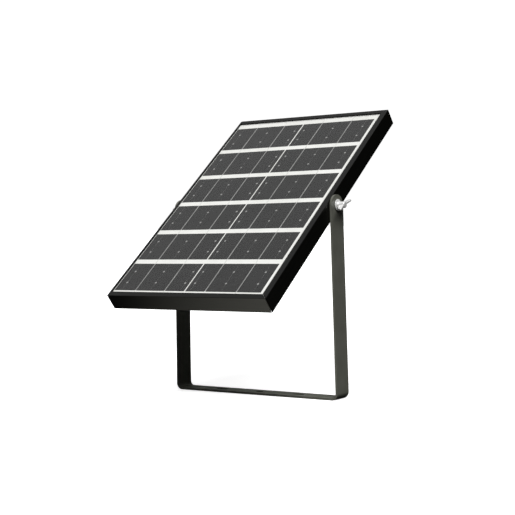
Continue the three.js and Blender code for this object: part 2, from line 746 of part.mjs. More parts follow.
function addHingeHardware(parent) {
  const sides = [
    { name: "right", turn: 0, wingTurn: RIGHT_WING_TURN_DEG },
    { name: "left", turn: Math.PI, wingTurn: LEFT_WING_TURN_DEG },
  ];
  for (const side of sides) {
    const pair = new THREE.Group();
    pair.rotation.z = side.turn;
    parent.add(pair);
    addPart(pair, `${side.name}_washer`, makeWasher(), materials.steel).position.x = armOuterX;
    const screw = makeWingScrew(side.wingTurn);
    addPart(pair, `${side.name}_wing_screw`, screw, materials.steel).position.x = armOuterX;
  }
}

const panel = new THREE.Group();
panel.position.set(0, 0, HINGE_HEIGHT);
panel.rotation.x = THREE.MathUtils.degToRad(TILT_DEG);
addFrame(panel);
addLaminate(panel);
addJunctionBox(panel);
addHingeHardware(panel);

const assembly = new THREE.Group();
addPart(assembly, "u_bracket", makeBracket(), materials.bracketPaint);
assembly.add(panel);

export default assembly;
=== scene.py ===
import json
import math

import bmesh
import bpy
from mathutils import Matrix, Vector


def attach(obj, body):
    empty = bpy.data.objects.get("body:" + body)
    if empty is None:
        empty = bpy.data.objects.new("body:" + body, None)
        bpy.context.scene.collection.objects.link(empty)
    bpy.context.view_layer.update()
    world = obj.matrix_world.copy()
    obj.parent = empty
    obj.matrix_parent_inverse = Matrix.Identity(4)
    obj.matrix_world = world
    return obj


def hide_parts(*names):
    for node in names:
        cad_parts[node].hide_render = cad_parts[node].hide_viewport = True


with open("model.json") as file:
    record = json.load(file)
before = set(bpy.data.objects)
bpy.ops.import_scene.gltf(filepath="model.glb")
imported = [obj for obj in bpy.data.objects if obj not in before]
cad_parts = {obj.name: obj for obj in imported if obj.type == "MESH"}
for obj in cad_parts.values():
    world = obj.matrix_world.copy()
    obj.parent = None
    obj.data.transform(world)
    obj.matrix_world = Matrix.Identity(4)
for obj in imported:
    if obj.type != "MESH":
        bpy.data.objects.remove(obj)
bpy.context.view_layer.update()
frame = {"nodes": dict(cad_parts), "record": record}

MM = 0.001
TILT = math.radians(38.2)
HINGE = Vector((0, 0, 0.201))
PANEL = Matrix.Translation(HINGE) @ Matrix.Rotation(TILT, 4, "X")
WORLD = Matrix.Identity(4)
SIDES = ("left", "right")
RIBBON_PLACES = ("inner", "outer")
CELL_ROWS = range(1, 7)
SHARP_ANGLE = math.radians(42)


# Materials

class Finish:
    """A Principled material and short ways to add nodes to it."""

    def __init__(self, name, **values):
        self.material = bpy.data.materials.new(name)
        self.material.use_nodes = True
        self.tree = self.material.node_tree
        self.bsdf = self.tree.nodes["Principled BSDF"]
        for socket, value in values.items():
            self.bsdf.inputs[socket.replace("_", " ").title().replace("Ior", "IOR")].default_value = value

    def node(self, kind, inputs=None, **settings):
        made = self.tree.nodes.new("ShaderNode" + kind)
        for key, value in settings.items():
            setattr(made, key, value)
        for key, value in (inputs or {}).items():
            if hasattr(value, "links"):
                self.tree.links.new(value, made.inputs[key])
            else:
                made.inputs[key].default_value = value
        return made

    def link(self, output, socket):
        self.tree.links.new(output, self.bsdf.inputs[socket])

    def position(self, stretch=(1, 1, 1)):
        """Object coordinates, in metres, scaled by stretch."""
        coordinates = self.node("TexCoord")
        mapping = self.node("Mapping", {0: coordinates.outputs["Object"], "Scale": stretch})
        return mapping.outputs[0]

    def noise(self, scale, stretch=(1, 1, 1), detail=3.0, roughness=0.55):
        made = self.node(
            "TexNoise",
            {"Vector": self.position(stretch), "Scale": scale, "Detail": detail, "Roughness": roughness},
        )
        return made.outputs["Fac"]

    def voronoi(self, scale, stretch=(1, 1, 1)):
        made = self.node("TexVoronoi", {"Vector": self.position(stretch), "Scale": scale})
        return made.outputs["Distance"]

    def math(self, operation, first, second=0.0):
        return self.node("Math", {0: first, 1: second}, operation=operation).outputs[0]

    def spread(self, value, low, high, from_low=0.3, from_high=0.7):
        """Maps a value onto low..high."""
        made = self.node(
            "MapRange",
            {"Value": value, "From Min": from_low, "From Max": from_high, "To Min": low, "To Max": high},
        )
        return made.outputs[0]

    def blend(self, share, first, second):
        """A colour between two colours, or colour outputs."""
        made = self.node("Mix", data_type="RGBA")
        for index, value in ((0, share), (6, first), (7, second)):
            if hasattr(value, "links"):
                self.tree.links.new(value, made.inputs[index])
            else:
                made.inputs[index].default_value = value
        return made.outputs[2]

    def bump(self, height, distance, strength=1.0, base=None):
        made = self.node("Bump", {"Height": height, "Distance": distance, "Strength": strength})
        if base is not None:
            self.tree.links.new(base, made.inputs["Normal"])
        self.link(made.outputs[0], "Normal")
        return made.outputs[0]

    def mottle(self, dark, light, scale, stretch=(1, 1, 1)):
        colour = self.blend(self.spread(self.noise(scale, stretch), 0.0, 1.0), dark, light)
        self.link(colour, "Base Color")
        return colour

    def rough(self, low, high, scale, stretch=(1, 1, 1)):
        self.link(self.spread(self.noise(scale, stretch), low, high), "Roughness")


def powder_coat():
    """Dark olive-grey powder coat, with a fine orange peel."""
    finish = Finish("powder_coat", specular_ior_level=0.35)
    finish.mottle((0.118, 0.12, 0.10, 1), (0.142, 0.144, 0.123, 1), 60)
    finish.rough(0.32, 0.42, 140)
    peel = finish.bump(finish.noise(700, detail=2.0), 0.00003, 0.35)
    finish.bump(finish.voronoi(1900), 0.00001, 0.25, peel)
    return finish.material


def anodised():
    """Black anodised aluminium, with faint drawing lines along the extrusion."""
    finish = Finish("black_anodised", specular_ior_level=0.22)
    lines = (0.02, 1, 1)
    finish.mottle((0.0016, 0.0016, 0.0012, 1), (0.003, 0.003, 0.0022, 1), 900, lines)
    finish.rough(0.3, 0.42, 1300, lines)
    finish.bump(finish.noise(1500, lines, detail=2.0), 0.000008, 0.5)
    return finish.material


FINGER_PITCH = 1.75 * MM
FINGER_SHARE = 0.3
GLASS_IOR = 1.5


def silicon():
    """A dark cell under glass, with its printed fingers lying across it."""
    finish = Finish("silicon", specular_ior_level=0.1)
    coordinates = finish.node("TexCoord").outputs["Object"]
    split = finish.node("SeparateXYZ", {0: coordinates})
    along = finish.math("MULTIPLY", split.outputs["Y"], 1 / FINGER_PITCH)
    offset = finish.math("ABSOLUTE", finish.math("SUBTRACT", finish.math("FRACT", along), 0.5))
    finger = finish.spread(offset, 1.0, 0.0, 0.0, FINGER_SHARE)
    grain = finish.spread(finish.noise(60, (0.25, 1, 1), detail=2.0), 0.0, 1.0)
    base = finish.blend(grain, (0.007, 0.007, 0.007, 1), (0.011, 0.011, 0.011, 1))
    finish.link(finish.blend(finger, base, (0.028, 0.028, 0.028, 1)), "Base Color")
    finish.rough(0.38, 0.48, 400)
    finish.bump(finish.noise(2600, detail=1.0), 0.000002, 0.2)
    return finish.material


def printed_silver():
    """Screen-printed silver paste of the cells' contact pads and thin lines."""
    finish = Finish("printed_silver", metallic=0.2, specular_ior_level=0.5)
    finish.mottle((0.25, 0.25, 0.245, 1), (0.37, 0.37, 0.36, 1), 1800)
    finish.rough(0.4, 0.55, 900)
    return finish.material


def tinned():
    """Tin-plated copper ribbon, flattened by rollers."""
    finish = Finish("tinned_copper", metallic=0.5)
    finish.mottle((0.26, 0.26, 0.255, 1), (0.44, 0.44, 0.43, 1), 500, (1, 0.1, 1))
    finish.rough(0.3, 0.48, 700, (1, 0.1, 1))
    finish.bump(finish.noise(900, (1, 0.15, 1)), 0.00002, 0.4)
    return finish.material


def filmed_ribbon():
    """Ribbon under the thin white film that masks the gaps between the cells."""
    finish = Finish("filmed_ribbon", specular_ior_level=0.3)
    finish.mottle((0.66, 0.66, 0.64, 1), (0.76, 0.76, 0.74, 1), 500, (1, 0.1, 1))
    finish.rough(0.5, 0.65, 260)
    finish.bump(finish.noise(900, (1, 0.15, 1)), 0.00002, 0.4)
    return finish.material


def white_sheet():
    """White laminated sheet, with a fine embossed grain."""
    finish = Finish("white_sheet", specular_ior_level=0.3)
    finish.mottle((0.80, 0.80, 0.77, 1), (0.88, 0.88, 0.86, 1), 35)
    finish.rough(0.5, 0.65, 260)
    finish.bump(finish.voronoi(1100), 0.00001, 0.3)
    return finish.material


def solar_glass():
    """Low-iron glass. It refracts and reflects for the camera, and is plain clear to other rays."""
    finish = Finish("solar_glass")
    tree = finish.tree
    stipple = finish.node(
        "Bump",
        {"Height": finish.noise(650, detail=2.0), "Distance": 0.000005, "Strength": 0.12},
    ).outputs[0]
    fresnel = finish.node("Fresnel", {"IOR": GLASS_IOR})
    inside = finish.node("NewGeometry").outputs["Backfacing"]
    share = finish.math("MULTIPLY", fresnel.outputs[0], finish.math("SUBTRACT", 1.0, inside))
    clear = finish.node("BsdfTransparent", {"Color": (0.975, 0.976, 0.973, 1)})
    gloss = finish.node("BsdfGlossy", {"Color": (1, 1, 1, 1), "Roughness": 0.1, "Normal": stipple})
    bent = finish.node(
        "BsdfRefraction",
        {"Color": (0.987, 0.987, 0.985, 1), "Roughness": 0.0, "IOR": GLASS_IOR},
    )
    seen = finish.node("MixShader", {0: share, 1: bent.outputs[0], 2: gloss.outputs[0]})
    sight = finish.node("LightPath").outputs["Is Camera Ray"]
    shader = finish.node("MixShader", {0: sight, 1: clear.outputs[0], 2: seen.outputs[0]})
    tree.links.new(shader.outputs[0], tree.nodes["Material Output"].inputs["Surface"])
    tree.nodes.remove(finish.bsdf)
    return finish.material


def bright_steel():
    """Bright zinc-plated steel, with a soft cast grain."""
    finish = Finish("bright_steel", metallic=0.35)
    finish.mottle((0.88, 0.88, 0.87, 1), (0.97, 0.97, 0.96, 1), 420)
    finish.rough(0.26, 0.4, 900)
    finish.bump(finish.noise(1400, detail=2.0), 0.00002, 0.3)
    return finish.material


def plated_steel():
    """Duller plated steel, of the lid screws and the hinge nuts."""
    finish = Finish("plated_steel", metallic=1.0)
    finish.mottle((0.5, 0.5, 0.48, 1), (0.64, 0.64, 0.62, 1), 500)
    finish.rough(0.28, 0.42, 1100)
    finish.bump(finish.noise(1800), 0.00001, 0.3)
    return finish.material


def raw_aluminium():
    """Uncoated aluminium, with drawing lines along X."""
    finish = Finish("raw_aluminium", metallic=1.0)
    finish.mottle((0.58, 0.58, 0.59, 1), (0.72, 0.72, 0.73, 1), 600, (0.1, 1, 1))
    finish.rough(0.35, 0.5, 1200, (0.1, 1, 1))
    finish.bump(finish.noise(1500, (0.1, 1, 1)), 0.00001, 0.3)
    return finish.material


def moulded_plastic():
    """Black moulded plastic, with the fine leather grain of its mould."""
    finish = Finish("moulded_plastic", specular_ior_level=0.45)
    finish.mottle((0.012, 0.012, 0.0125, 1), (0.02, 0.02, 0.0205, 1), 80)
    finish.rough(0.4, 0.55, 300)
    finish.bump(finish.voronoi(2200), 0.00002, 0.5)
    return finish.material


def rubber():
    """Matt black rubber."""
    finish = Finish("rubber", specular_ior_level=0.3)
    finish.mottle((0.008, 0.008, 0.008, 1), (0.018, 0.018, 0.018, 1), 200)
    finish.rough(0.65, 0.85, 500)
    finish.bump(finish.noise(1600), 0.00002, 0.4)
    return finish.material


def brass():
    """Stamped brass."""
    finish = Finish("brass", metallic=1.0)
    finish.mottle((0.55, 0.38, 0.14, 1), (0.72, 0.53, 0.24, 1), 500)
    finish.rough(0.28, 0.42, 900)
    finish.bump(finish.noise(1500), 0.00001, 0.3)
    return finish.material


FINISHES = {
    "bracket_paint": powder_coat(),
    "frame_anodised": anodised(),
    "front_glass": solar_glass(),
    "solar_cell": silicon(),
    "tinned_ribbon": tinned(),
    "white_sheet": white_sheet(),
    "bright_steel": bright_steel(),
    "plated_steel": plated_steel(),
    "raw_aluminium": raw_aluminium(),
    "black_plastic": moulded_plastic(),
    "black_rubber": rubber(),
    "brass_tab": brass(),
}
SILVER_PRINT = printed_silver()
FILMED_RIBBON = filmed_ribbon()
SLOT_OF = {part["node"]: part["material_slot"] for part in frame["record"]["subparts"]}
BODY_OF = {
    node: body for body, nodes in frame["record"]["behaviour"]["bodies"].items() for node in nodes
}

for name, node in frame["nodes"].items():
    node.data.materials.clear()
    node.data.materials.append(FINISHES[SLOT_OF[name]])


# Pieces. Each is drawn in a frame of its own, in metres, and placed by a matrix.

def from_cad(node, matrix):
    """A CAD node's mesh in the matrix's frame, with its flat faces made whole."""
    bm = bmesh.new()
    bm.from_mesh(frame["nodes"][node].data)
    bm.transform(matrix.inverted())
    bmesh.ops.remove_doubles(bm, verts=bm.verts, dist=1e-6)
    bmesh.ops.dissolve_limit(bm, angle_limit=math.radians(0.6), verts=bm.verts, edges=bm.edges)
    return bm


def local_box(node, matrix=PANEL):
    """The lowest and highest corners of a CAD node in the matrix's frame."""
    back = matrix.inverted()
    corners = [back @ vertex.co for vertex in frame["nodes"][node].data.vertices]
    low = Vector([min(c[axis] for c in corners) for axis in range(3)])
    high = Vector([max(c[axis] for c in corners) for axis in range(3)])
    return low, high


def round_edges(bm, width, segments=3, sharper_than=30):
    """Bevels the edges whose faces meet at more than the given angle in degrees."""
    edges = [e for e in bm.edges if e.is_manifold and e.calc_face_angle() > math.radians(sharper_than)]
    bmesh.ops.bevel(
        bm, geom=edges, offset=width, segments=segments, profile=0.5, affect="EDGES", clamp_overlap=True
    )
    return bm


def add_block(bm, low, high, material=0):
    """A box from the low to the high corner."""
    corners = [
        bm.verts.new((x, y, z))
        for z in (low[2], high[2])
        for y in (low[1], high[1])
        for x in (low[0], high[0])
    ]
    sides = [(0, 2, 3, 1), (4, 5, 7, 6), (0, 1, 5, 4), (2, 6, 7, 3), (0, 4, 6, 2), (1, 3, 7, 5)]
    for side in sides:
        bm.faces.new([corners[i] for i in side]).material_index = material


def add_rings(bm, rings, material=0, closed=False):
    """Joins rings of equally many points into a skin, with flat caps unless it is closed."""
    loops = [[bm.verts.new(point) for point in ring] for ring in rings]
    pairs = list(zip(loops, loops[1:]))
    if closed:
        pairs.append((loops[-1], loops[0]))
    for first, second in pairs:
        for i in range(len(first)):
            j = (i + 1) % len(first)
            bm.faces.new((first[i], first[j], second[j], second[i])).material_index = material
    if not closed:
        bm.faces.new(loops[0]).material_index = material
        bm.faces.new(loops[-1]).material_index = material


def circle(x, radius, steps=48):
    """A ring of points about the X axis."""
    turns = [2 * math.pi * i / steps for i in range(steps)]
    return [(x, radius * math.cos(a), radius * math.sin(a)) for a in turns]


def place(name, bm, finishes, body, nodes, matrix=PANEL):
    """Makes a piece of the drawn mesh, which rides on a body and stands for CAD nodes."""
    bmesh.ops.recalc_face_normals(bm, faces=bm.faces)
    mesh = bpy.data.meshes.new(name)
    bm.to_mesh(mesh)
    bm.free()
    for finish in finishes:
        mesh.materials.append(finish)
    mesh.shade_smooth()
    mesh.set_sharp_from_angle(angle=SHARP_ANGLE)
    piece = bpy.data.objects.new(name, mesh)
    bpy.context.scene.collection.objects.link(piece)
    piece.matrix_world = matrix
    normals = piece.modifiers.new("normals", "WEIGHTED_NORMAL")
    normals.keep_sharp = True
    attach(piece, body)
    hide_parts(*nodes)
    return piece


def refine(node, width, matrix=PANEL, segments=3):
    """A CAD node again, with its edges rounded."""
    bm = round_edges(from_cad(node, matrix), width, segments)
    slot = SLOT_OF[node]
    return place(node + "_finished", bm, [FINISHES[slot]], BODY_OF[node], [node], matrix)


def apply_modifiers(piece):
    """Makes the shape that a piece's modifiers give its own mesh."""
    bpy.context.view_layer.update()
    depsgraph = bpy.context.evaluated_depsgraph_get()
    shaped = bpy.data.meshes.new_from_object(piece.evaluated_get(depsgraph))
    piece.modifiers.clear()
    piece.data = shaped


SIDEWAYS = PANEL @ Matrix.Rotation(math.radians(90), 4, "Z")


def make_frame():
    """The four rails, each in a frame that has X along it."""
    rail_rounding = 0.3 * MM
    for side, matrix in (("bottom", PANEL), ("top", PANEL), ("left", SIDEWAYS), ("right", SIDEWAYS)):
        refine(f"{side}_rail", rail_rounding, matrix)


# Distances of the pads' lines from the array's middle, and the pads' shares of the way down a cell.
PAD_LINES = (6.3 * MM, 44.8 * MM, 83.3 * MM)
PAD_HEIGHTS = (0.3, 0.71)
PAD_RADIUS = 1.15 * MM
PAD_STEPS = 20
PRINT_HEIGHT = 0.03 * MM
PRINT_LINE_HALF = 0.035 * MM
PRINT_MARGIN = 1.2 * MM


def add_pad(bm, x, y, surface):
    """A round contact pad, printed on the cell's surface."""
    turns = [2 * math.pi * i / PAD_STEPS for i in range(PAD_STEPS)]
    rim = [(x + PAD_RADIUS * math.cos(a), y + PAD_RADIUS * math.sin(a)) for a in turns]
    heights = (surface - PRINT_HEIGHT, surface + 1.6 * PRINT_HEIGHT)
    add_rings(bm, [[(px, py, z) for px, py in rim] for z in heights], 1)


def make_cells():
    """Each cell is a wafer with printed lines and round pads, between the soldered ribbons."""
    left_end = local_box("solar_cell_row1_left")[0].x
    right_end = local_box("solar_cell_row1_right")[1].x
    array_middle = (left_end + right_end) / 2
    wafer_rounding = 0.06 * MM
    for row in CELL_ROWS:
        for name, sign in (("left", -1), ("right", 1)):
            node = f"solar_cell_row{row}_{name}"
            low, high = local_box(node)
            bm = bmesh.new()
            add_block(bm, low, high)
            round_edges(bm, wafer_rounding, 2)
            for line in PAD_LINES:
                x = array_middle + sign * line
                add_block(
                    bm,
                    (x - PRINT_LINE_HALF, low.y + PRINT_MARGIN, high.z - PRINT_HEIGHT),
                    (x + PRINT_LINE_HALF, high.y - PRINT_MARGIN, high.z + PRINT_HEIGHT),
                    1,
                )
                for share in PAD_HEIGHTS:
                    add_pad(bm, x, high.y - share * (high.y - low.y), high.z)
            finishes = [FINISHES["solar_cell"], SILVER_PRINT]
            place(f"cell_row{row}_{name}", bm, finishes, "panel", [node])


RIBBON_STEPS = 300
RIBBON_DIP = 0.09 * MM
RIBBON_SHOULDER = 0.25 * MM
RIBBON_SHOULDER_DROP = 0.03 * MM
RIBBON_OVERHANG = 0.5 * MM


def ribbon_ring(low, high, y, drop):
    """The ribbon's section at y, with sloping shoulders."""
    bottom = low.z - drop
    top = high.z - drop
    side_top = high.z - RIBBON_SHOULDER_DROP - drop
    return [
        (low.x, y, bottom),
        (high.x, y, bottom),
        (high.x, y, side_top),
        (high.x - RIBBON_SHOULDER, y, top),
        (low.x + RIBBON_SHOULDER, y, top),
        (low.x, y, side_top),
    ]


def make_ribbons():
    """Flat wires that dip a little into the gaps between the rows of cells."""
    spans = [local_box(f"solar_cell_row{row}_left") for row in CELL_ROWS]

    def over_cell(y, margin):
        return any(low.y - margin < y < high.y + margin for low, high in spans)

    finishes = [FINISHES["tinned_ribbon"], FILMED_RIBBON]
    for side in SIDES:
        for where in RIBBON_PLACES:
            node = f"tabbing_ribbon_{side}_{where}"
            low, high = local_box(node)
            rings = []
            for step in range(RIBBON_STEPS + 1):
                y = low.y + (high.y - low.y) * step / RIBBON_STEPS
                drop = 0 if over_cell(y, RIBBON_OVERHANG) else RIBBON_DIP
                rings.append(ribbon_ring(low, high, y, drop))
            bm = bmesh.new()
            add_rings(bm, rings)
            for face in bm.faces:
                if not over_cell(face.calc_center_median().y, 0):
                    face.material_index = 1
            place(f"ribbon_{side}_{where}", bm, finishes, "panel", [node])


def make_backsheet():
    """The sheet's back shows the ribbons and the edges of the cells as faint ridges."""
    low, high = local_box("backsheet")
    ribbons = [
        sum(v.x for v in local_box(f"tabbing_ribbon_{side}_{where}")) / 2
        for side in SIDES for where in RIBBON_PLACES
    ]
    cells = [local_box(f"solar_cell_row{row}_{side}") for row in CELL_ROWS for side in SIDES]
    ridge = 0.07 * MM
    ridge_half_width = 0.9 * MM
    raised = 0.05 * MM
    edge_softness = 0.4 * MM
    exponent_limit = 40

    def relief(x, y):
        height = sum(ridge * math.exp(-((x - line) / ridge_half_width) ** 2) for line in ribbons)
        for cell_low, cell_high in cells:
            inside = min(x - cell_low.x, cell_high.x - x, y - cell_low.y, cell_high.y - y)
            exponent = max(-exponent_limit, min(exponent_limit, inside / edge_softness))
            height += raised / (1 + math.exp(-exponent))
        return height

    columns, rows = 196, 200
    bm = bmesh.new()
    grid = []
    for row in range(rows + 1):
        y = low.y + (high.y - low.y) * row / rows
        line = []
        for column in range(columns + 1):
            x = low.x + (high.x - low.x) * column / columns
            line.append(bm.verts.new((x, y, low.z + ridge + raised - relief(x, y))))
        grid.append(line)
    for row in range(rows):
        for column in range(columns):
            bm.faces.new((
                grid[row][column], grid[row][column + 1], grid[row + 1][column + 1], grid[row + 1][column]
            ))
    rim = (
        grid[0][:-1]
        + [line[-1] for line in grid[:-1]]
        + grid[-1][:0:-1]
        + [line[0] for line in grid[:0:-1]]
    )
    top = [bm.verts.new((vertex.co.x, vertex.co.y, high.z)) for vertex in rim]
    for i in range(len(rim)):
        j = (i + 1) % len(rim)
        bm.faces.new((rim[i], rim[j], top[j], top[i]))
    bm.faces.new(top)
    place("backsheet_relief", bm, [FINISHES["white_sheet"]], "panel", ["backsheet"])


# The hinge hardware. Its frames have X outwards along the screw, from the arm's outer face.

WASHER_STAND_OFF = 0.4 * MM
RIGHT_WING_TURN = math.radians(-13)


def screw_frame(side):
    """The frame of one side's screw, which starts just inside the washer."""
    turn = Matrix.Rotation(math.pi if side == "left" else 0, 4, "Z")
    outward = PANEL @ turn
    start = local_box(f"{side}_washer", outward)[0].x - WASHER_STAND_OFF
    return outward @ Matrix.Translation((start, 0, 0))


def make_washer(side):
    """A plain washer, punched, with its outer edge rounded."""
    matrix = screw_frame(side)
    node = f"{side}_washer"
    low, high = local_box(node, matrix)
    inner, outer = 2.8 * MM, high.y
    rounding = 0.28 * MM
    middle = (low.x + high.x) / 2
    profile = [
        (low.x, inner + 0.1 * MM),
        (low.x, outer - rounding),
        (low.x + 0.3 * rounding, outer - 0.3 * rounding),
        (middle, outer),
        (high.x - 0.3 * rounding, outer - 0.3 * rounding),
        (high.x, outer - rounding),
        (high.x, inner + 0.2 * MM),
        (high.x - 0.12 * MM, inner),
        (low.x + 0.1 * MM, inner),
    ]
    bm = bmesh.new()
    add_rings(bm, [circle(x, radius, 72) for x, radius in profile], closed=True)
    place(f"washer_{side}", bm, [FINISHES["bright_steel"]], node, [node], matrix)


def curve_points(start, control, end, steps=7):
    """Points along a quadratic curve, without its start."""
    points = []
    for step in range(1, steps + 1):
        t = step / steps
        points.append(tuple(
            (1 - t) ** 2 * a + 2 * t * (1 - t) * b + t * t * c for a, b, c in zip(start, control, end)
        ))
    return points


def wing_outline(hub_start):
    """One wing, in X outwards along the screw and Y away from its axis, in millimetres."""
    tip = 11.8
    root = 3.3
    start, reach = hub_start + 2.5, 7.0
    points = [(start, 0), (start, root)]
    for control, end in (
        ((0.06, 0.6), (0.3, 0.85)),
        ((0.5, 1.0), (0.75, 1.0)),
        ((1.0, 0.98), (0.94, 0.8)),
        ((0.8, 0.45), (0.67, 0.27)),
    ):
        control, end = ((start + along * reach, away * tip) for along, away in (control, end))
        points += curve_points(points[-1], control, end)
    return points + [(start + 0.67 * reach, 0)]


# In millimetres, like the outlines of the hub and the wings.
HUB_START = 1.7
WING_HALF_SPAN = 12
WING_HALF_THICKNESS = 1.2
WING_THINNING = 0.35


def make_wing_screw(side):
    """A cast wing screw: a turned hub and two wings, melted together by a remesh."""
    wing_turn = RIGHT_WING_TURN if side == "right" else 0
    matrix = screw_frame(side) @ Matrix.Rotation(wing_turn, 4, "X")
    node = f"{side}_wing_screw"
    hub_profile = [
        (1.72, 1.5), (1.72, 3.7), (2.0, 3.95), (2.5, 3.9), (3.2, 3.45),
        (8.8, 3.3), (9.5, 3.0), (9.8, 2.4), (9.8, 0.8),
    ]
    bm = bmesh.new()
    add_rings(bm, [circle(x * MM, radius * MM, 48) for x, radius in hub_profile])
    outline = wing_outline(HUB_START)
    for sign in (1, -1):
        rings = []
        for half in (-1, 1):
            rings.append([
                (
                    x * MM,
                    sign * y * MM,
                    half * (WING_HALF_THICKNESS - WING_THINNING * y / WING_HALF_SPAN) * MM,
                )
                for x, y in outline
            ])
        add_rings(bm, rings)
    finishes = [FINISHES["bright_steel"]]
    screw = place(f"wing_screw_{side}", bm, finishes, f"{side}_screw", [node], matrix)
    screw.modifiers.clear()
    remesh = screw.modifiers.new("cast", "REMESH")
    remesh.mode = "VOXEL"
    remesh.voxel_size = 0.2 * MM
    remesh.use_smooth_shade = True
    smooth = screw.modifiers.new("soften", "SMOOTH")
    smooth.factor = 0.5
    smooth.iterations = 5
    apply_modifiers(screw)
    make_thread(side, matrix)


def make_thread(side, matrix):
    """The screw's M5 thread, as a ridge that winds round the shank."""
    low, _ = local_box(f"{side}_wing_screw", matrix)
    start, end = low.x, 2.2 * MM
    pitch, crest, root = 0.8 * MM, 2.45 * MM, 2.03 * MM
    around, per_pitch = 40, 10
    rings = []
    count = math.ceil((end - start) / pitch * per_pitch)
    for i in range(count + 1):
        x = start + (end - start) * i / count
        lead = min(1.0, 0.55 + 0.45 * (x - start) / (1.2 * pitch))
        ring = []
        for j in range(around):
            angle = 2 * math.pi * j / around
            phase = (x / pitch - j / around) % 1.0
            height = max(0.0, 1 - abs(2 * phase - 1) * 1.12)
            radius = root + (crest - root) * min(1.0, height * 1.15) * lead
            radius *= 0.86 + 0.14 * lead
            ring.append((x, radius * math.cos(angle), radius * math.sin(angle)))
        rings.append(ring)
    bm = bmesh.new()
    add_rings(bm, rings)
    finishes = [FINISHES["bright_steel"]]
    place(f"screw_thread_{side}", bm, finishes, f"{side}_screw", [], matrix)


# The junction box on the panel's back. It hangs towards -Z of the panel's frame.

def rounded_outline(low, high, inset, radius, z, steps=8):
    """A rounded rectangle inside the box low..high, as a ring of points at height z."""
    radius = max(radius - inset, 0.6 * MM)
    points = []
    centres = [
        (high.x - inset - radius, high.y - inset - radius),
        (low.x + inset + radius, high.y - inset - radius),
        (low.x + inset + radius, low.y + inset + radius),
        (high.x - inset - radius, low.y + inset + radius),
    ]
    for quarter, (x, y) in enumerate(centres):
        for step in range(steps + 1):
            angle = math.pi / 2 * (quarter + step / steps)
            points.append((x + radius * math.cos(angle), y + radius * math.sin(angle), z))
    return points


def make_lid():
    """The lid, with a rounded rim, a step and a flat sunk middle."""
    low, high = local_box("junction_box_lid")
    radius = 4 * MM
    levels = [
        (0, high.z), (0, low.z + 0.6 * MM), (0.2 * MM, low.z + 0.18 * MM), (0.6 * MM, low.z),
        (9.4 * MM, low.z), (9.8 * MM, low.z + 0.12 * MM), (10.0 * MM, low.z + 0.45 * MM),
        (10.3 * MM, low.z + 0.55 * MM), (13 * MM, low.z + 0.55 * MM),
    ]
    bm = bmesh.new()
    add_rings(bm, [rounded_outline(low, high, inset, radius, z) for inset, z in levels])
    place("box_lid", bm, [FINISHES["black_plastic"]], "panel", ["junction_box_lid"])


def make_gland_nut():
    """A dome nut with grip ribs round it."""
    turned = PANEL @ Matrix.Rotation(math.radians(-90), 4, "Z")
    low, high = local_box("gland_nut", turned)
    middle_y, middle_z = (low.y + high.y) / 2, (low.z + high.z) / 2
    matrix = turned @ Matrix.Translation((low.x, middle_y, middle_z))
    length, radius = high.x - low.x, (high.z - low.z) / 2
    bore = 2.7 * MM
    ribs, around = 14, 140
    rib_height = 0.28 * MM
    # Distance along the nut, radius, and how far the grip ribs stand out.
    profile = [
        (0.0, bore + 1.1 * MM, 0),
        (0.0, radius - 0.5 * MM, 0),
        (0.35 * MM, radius - 0.35 * MM, 0.2),
        (0.9 * MM, radius - 0.3 * MM, 1),
        (0.62 * length, radius - 0.3 * MM, 1),
        (0.7 * length, radius - 0.7 * MM, 0.5),
        (0.86 * length, radius - 1.4 * MM, 0),
        (0.97 * length, radius - 1.9 * MM, 0),
        (length, radius - 2.2 * MM, 0),
        (length, bore, 0),
        (0.85 * length, bore, 0),
        (0.7 * length, bore + 1.1 * MM, 0),
    ]
    rings = []
    for x, ring_radius, ribbed in profile:
        ring = []
        for i in range(around):
            angle = 2 * math.pi * i / around
            rib = rib_height * ribbed * max(-1.0, min(1.0, 2.2 * math.cos(ribs * angle)))
            reach = ring_radius + rib
            ring.append((x, reach * math.cos(angle), reach * math.sin(angle)))
        rings.append(ring)
    bm = bmesh.new()
    add_rings(bm, rings, closed=True)
    place("gland_cap", bm, [FINISHES["black_plastic"]], "panel", ["gland_nut"], matrix)


KEPT_NODE_BEVEL = 0.05 * MM
KEPT_NODE_ANGLE = math.radians(40)


def soften_kept_nodes():
    """CAD nodes that stay get a small bevel."""
    stood_for = {name for name, node in frame["nodes"].items() if node.hide_render}
    for name, node in frame["nodes"].items():
        if name in stood_for:
            continue
        bevel = node.modifiers.new("edges", "BEVEL")
        bevel.width = KEPT_NODE_BEVEL
        bevel.segments = 2
        bevel.limit_method = "ANGLE"
        bevel.angle_limit = KEPT_NODE_ANGLE


refine("u_bracket", 0.4 * MM, WORLD)
make_frame()
make_cells()
make_ribbons()
make_backsheet()
for hand in SIDES:
    make_washer(hand)
    make_wing_screw(hand)
refine("junction_box_tray", 0.5 * MM)
make_lid()
for corner in ("top_left", "top_right", "bottom_left", "bottom_right"):
    refine(f"lid_screw_{corner}", 0.12 * MM)
refine("gland_body", 0.15 * MM)
make_gland_nut()
soften_kept_nodes()


# The camera, the floor and the lights

CAMERA_AZIMUTH = math.radians(35.011)
CAMERA_ELEVATION = math.radians(1.542)
CAMERA_ROLL = math.radians(-1.249)
CAMERA_PLACE = Vector((0.7577, -1.0803, 0.1826))
CAMERA_LENS = 85.58
CAMERA_SENSOR = 36


